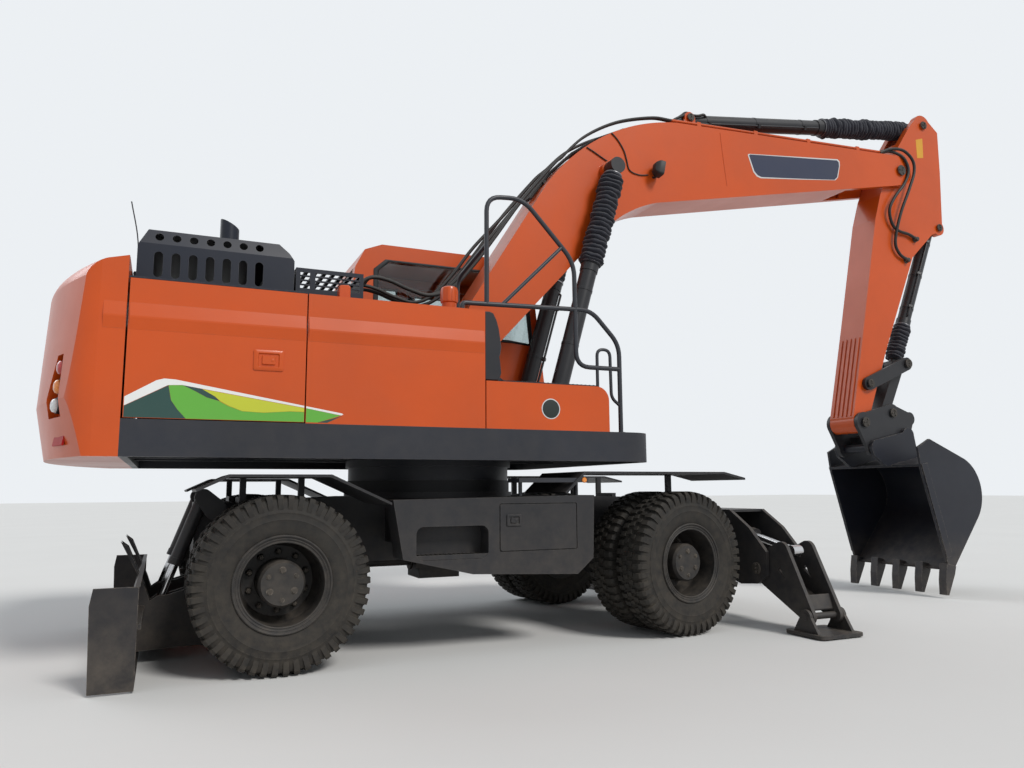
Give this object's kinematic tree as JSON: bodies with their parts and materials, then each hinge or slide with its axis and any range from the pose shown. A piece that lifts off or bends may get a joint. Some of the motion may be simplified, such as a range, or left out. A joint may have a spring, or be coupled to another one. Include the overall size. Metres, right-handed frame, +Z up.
{
  "type": "wheeled excavator",
  "caption": "Wheeled excavator with twin-tyred axles, rear blade, front outriggers, slewing upper body with cab, and a hydraulic boom, arm and bucket",
  "frame": {"origin": "on the ground, under the centre of the slewing ring", "axes": "+X forward to the bucket as parked, +Y to the machine's left, +Z up"},
  "size_m": [8.81, 3.58, 5.3149],
  "materials": {
    "orange_paint": "gloss paint",
    "chassis_paint": "satin paint",
    "black_paint": "satin paint",
    "rods": "polished",
    "tyre": "matte",
    "hose": "matte",
    "glass": "polished",
    "seat": "woven"
  },
  "bodies": {
    "chassis": {"chassis_frame": "chassis_paint", "slew_ring": "chassis_paint", "rear_axle": "chassis_paint", "front_axle": "chassis_paint", "driveline": "chassis_paint", "side_boxes": "chassis_paint", "mudguards": "chassis_paint"},
    "upper": {"deck": "chassis_paint", "counterweight": "orange_paint", "fuel_tank": "orange_paint", "front_box": "orange_paint", "grille_cover": "black_paint", "engine": "black_paint", "cab_frame": "orange_paint", "cab_glass": "glass", "cab_seat": "seat", "handrails": "chassis_paint"},
    "knuckle_left": {"knuckle_left": "chassis_paint"},
    "knuckle_right": {"knuckle_right": "chassis_paint"},
    "wheel_front_left": {"tyres_front_left": "tyre", "rims_front_left": "chassis_paint"},
    "wheel_front_right": {"tyres_front_right": "tyre", "rims_front_right": "chassis_paint"},
    "wheel_rear_left": {"tyres_rear_left": "tyre", "rims_rear_left": "chassis_paint"},
    "wheel_rear_right": {"tyres_rear_right": "tyre", "rims_rear_right": "chassis_paint"},
    "blade": {"blade": "chassis_paint"},
    "blade_barrels": {"blade_barrels": "black_paint"},
    "blade_rods": {"blade_rods": "rods"},
    "leg_left": {"leg_left": "chassis_paint"},
    "pad_left": {"pad_left": "chassis_paint"},
    "leg_barrel_left": {"leg_barrel_left": "black_paint"},
    "leg_rod_left": {"leg_rod_left": "rods"},
    "leg_right": {"leg_right": "chassis_paint"},
    "pad_right": {"pad_right": "chassis_paint"},
    "leg_barrel_right": {"leg_barrel_right": "black_paint"},
    "leg_rod_right": {"leg_rod_right": "rods"},
    "rear_door": {"rear_door": "orange_paint"},
    "left_door": {"left_door": "orange_paint"},
    "hood": {"hood": "black_paint", "exhaust": "black_paint"},
    "cab_door": {"cab_door": "orange_paint", "cab_door_glass": "glass"},
    "boom": {"boom": "orange_paint", "boom_lines": "hose"},
    "boom_barrels": {"boom_barrels": "black_paint"},
    "boom_rods": {"boom_rods": "rods", "boom_boots": "hose"},
    "arm": {"arm": "orange_paint"},
    "arm_barrel": {"arm_barrel": "black_paint"},
    "arm_rod": {"arm_rod": "rods", "arm_boot": "hose"},
    "bucket": {"coupler": "black_paint", "bucket": "black_paint"},
    "levers": {"levers": "black_paint"},
    "link": {"link": "black_paint"},
    "bucket_barrel": {"bucket_barrel": "black_paint"},
    "bucket_rod": {"bucket_rod": "rods", "bucket_boot": "hose"}
  },
  "joints": [
    {"name": "swing", "type": "hinge", "parent": "chassis", "child": "upper", "pos_m": [0, 0, 1.06], "axis": [0, 0, 1], "continuous": true},
    {"name": "steer_left", "type": "hinge", "parent": "chassis", "child": "knuckle_left", "pos_m": [1.56, 0.6, 0.5275], "axis": [0, 0, 1], "range_deg": [-36.6, 19.4]},
    {"name": "steer_right", "type": "hinge", "parent": "chassis", "child": "knuckle_right", "pos_m": [1.56, -0.6, 0.5275], "axis": [0, 0, 1], "range_deg": [-36.9, 19.7]},
    {"name": "spin_front_left", "type": "hinge", "parent": "knuckle_left", "child": "wheel_front_left", "pos_m": [1.56, 0.6, 0.5275], "axis": [-0.1495, 0.9888, 0], "continuous": true},
    {"name": "spin_front_right", "type": "hinge", "parent": "knuckle_right", "child": "wheel_front_right", "pos_m": [1.56, -0.6, 0.5275], "axis": [-0.1495, 0.9888, 0], "continuous": true},
    {"name": "spin_rear_left", "type": "hinge", "parent": "chassis", "child": "wheel_rear_left", "pos_m": [-1.29, 0.785, 0.5275], "axis": [0, 1, 0], "continuous": true},
    {"name": "spin_rear_right", "type": "hinge", "parent": "chassis", "child": "wheel_rear_right", "pos_m": [-1.29, -0.785, 0.5275], "axis": [0, 1, 0], "continuous": true},
    {"name": "blade_lift", "type": "hinge", "parent": "chassis", "child": "blade", "pos_m": [-1.56, 0, 0.43], "axis": [0, 1, 0], "range_deg": [-8, 27]},
    {"name": "blade_barrel_tilt", "type": "hinge", "parent": "chassis", "child": "blade_barrels", "pos_m": [-1.715, 0, 1.04], "axis": [0, 1, 0], "range_deg": [-2.23, 7.06]},
    {"name": "blade_rod_slide", "type": "slide", "parent": "blade_barrels", "child": "blade_rods", "axis": [-0.3385, 0, -0.941], "range_m": [-0.1814, 0.0552]},
    {"name": "outrigger_left", "type": "hinge", "parent": "chassis", "child": "leg_left", "pos_m": [2.54, 1.13, 0.45], "axis": [1, 0, 0], "range_deg": [-5, 90]},
    {"name": "pad_tilt_left", "type": "hinge", "parent": "leg_left", "child": "pad_left", "pos_m": [2.54, 1.6, 0.14], "axis": [1, 0, 0], "range_deg": [-14, 14]},
    {"name": "outrigger_barrel_left", "type": "hinge", "parent": "chassis", "child": "leg_barrel_left", "pos_m": [2.54, 0.43, 0.79], "axis": [1, 0, 0], "range_deg": [-0.43, 4.32]},
    {"name": "outrigger_rod_left", "type": "slide", "parent": "leg_barrel_left", "child": "leg_rod_left", "axis": [0, 0.9772, -0.2124], "range_m": [-0.3745, 0.0227]},
    {"name": "outrigger_right", "type": "hinge", "parent": "chassis", "child": "leg_right", "pos_m": [2.54, -1.13, 0.45], "axis": [-1, 0, 0], "range_deg": [-5, 90]},
    {"name": "pad_tilt_right", "type": "hinge", "parent": "leg_right", "child": "pad_right", "pos_m": [2.54, -1.6, 0.14], "axis": [-1, 0, 0], "range_deg": [-14, 14]},
    {"name": "outrigger_barrel_right", "type": "hinge", "parent": "chassis", "child": "leg_barrel_right", "pos_m": [2.54, -0.43, 0.79], "axis": [-1, 0, 0], "range_deg": [-0.43, 4.32]},
    {"name": "outrigger_rod_right", "type": "slide", "parent": "leg_barrel_right", "child": "leg_rod_right", "axis": [0, -0.9772, -0.2124], "range_m": [-0.3745, 0.0227]},
    {"name": "rear_door_swing", "type": "hinge", "parent": "upper", "child": "rear_door", "pos_m": [-2.172, -1.235, 1.89], "axis": [0, 0, -1], "range_deg": [0, 90]},
    {"name": "left_door_swing", "type": "hinge", "parent": "upper", "child": "left_door", "pos_m": [-2.172, 1.235, 1.89], "axis": [0, 0, 1], "range_deg": [0, 90]},
    {"name": "hood_lift", "type": "hinge", "parent": "upper", "child": "hood", "pos_m": [-2.195, -0.1, 2.46], "axis": [0, -1, 0], "range_deg": [0, 60]},
    {"name": "cab_door_swing", "type": "hinge", "parent": "upper", "child": "cab_door", "pos_m": [0.146, 1.255, 2.3], "axis": [0, 0, 1], "range_deg": [0, 165]},
    {"name": "boom_lift", "type": "hinge", "parent": "upper", "child": "boom", "pos_m": [0.25, -0.11, 1.95], "axis": [0, -1, 0], "range_deg": [-50, 35]},
    {"name": "boom_barrel_tilt", "type": "hinge", "parent": "upper", "child": "boom_barrels", "pos_m": [0.88, -0.11, 1.59], "axis": [0, -1, 0], "range_deg": [-51.28, 35.96]},
    {"name": "boom_rod_slide", "type": "slide", "parent": "boom_barrels", "child": "boom_rods", "axis": [0.2818, 0, 0.9595], "range_m": [-0.5983, 0.4194], "deforming": ["boom_boots"]},
    {"name": "arm_swing", "type": "hinge", "parent": "boom", "child": "arm", "pos_m": [5.325, -0.11, 4.545], "axis": [0, 1, 0], "range_deg": [-90, 20]},
    {"name": "arm_barrel_tilt", "type": "hinge", "parent": "boom", "child": "arm_barrel", "pos_m": [2.57, -0.11, 4.668], "axis": [0, 1, 0], "range_deg": [-4.33, 1.12]},
    {"name": "arm_rod_slide", "type": "slide", "parent": "arm_barrel", "child": "arm_rod", "axis": [0.9873, 0, 0.1588], "range_m": [-1.0998, 0.246], "deforming": ["arm_boot"]},
    {"name": "bucket_curl", "type": "hinge", "parent": "arm", "child": "bucket", "pos_m": [4.545, -0.11, 1.735], "axis": [0, 1, 0], "range_deg": [-12, 135]},
    {"name": "lever_turn", "type": "hinge", "parent": "arm", "child": "levers", "pos_m": [4.66, -0.11, 2.14], "axis": [0, 1, 0], "range_deg": [-8.75, 96.36]},
    {"name": "link_turn", "type": "hinge", "parent": "bucket", "child": "link", "pos_m": [4.95, -0.11, 1.842], "axis": [0, 1, 0], "range_deg": [-99.44, 9.02]},
    {"name": "bucket_barrel_tilt", "type": "hinge", "parent": "arm", "child": "bucket_barrel", "pos_m": [5.95, -0.11, 3.99], "axis": [0, 1, 0], "range_deg": [-4.64, 0.59]},
    {"name": "bucket_rod_slide", "type": "slide", "parent": "bucket_barrel", "child": "bucket_rod", "axis": [-0.4082, 0, -0.9129], "range_m": [-0.085, 0.9358], "deforming": ["bucket_boot"]}
  ],
  "couplings": [
    {"joint": "steer_right", "follows": "steer_left", "ratio": 1},
    {"joint": "blade_barrel_tilt", "follows": "blade_lift", "ratio": 0.24678},
    {"joint": "blade_rod_slide", "follows": "blade_lift", "m_per_rad": -0.37324},
    {"joint": "outrigger_barrel_left", "follows": "outrigger_left", "ratio": 0.04442},
    {"joint": "outrigger_rod_left", "follows": "outrigger_left", "m_per_rad": -0.23246},
    {"joint": "outrigger_barrel_right", "follows": "outrigger_right", "ratio": 0.04442},
    {"joint": "outrigger_rod_right", "follows": "outrigger_right", "m_per_rad": -0.23246},
    {"joint": "boom_barrel_tilt", "follows": "boom_lift", "ratio": 0.99186},
    {"joint": "boom_rod_slide", "follows": "boom_lift", "m_per_rad": 0.66996},
    {"joint": "arm_barrel_tilt", "follows": "arm_swing", "ratio": 0.0445},
    {"joint": "arm_rod_slide", "follows": "arm_swing", "m_per_rad": 0.68518},
    {"joint": "lever_turn", "follows": "bucket_curl", "ratio": 0.69152},
    {"joint": "link_turn", "follows": "bucket_curl", "ratio": -0.71367},
    {"joint": "bucket_barrel_tilt", "follows": "bucket_curl", "ratio": -0.0319},
    {"joint": "bucket_rod_slide", "follows": "bucket_curl", "m_per_rad": 0.38856}
  ]
}
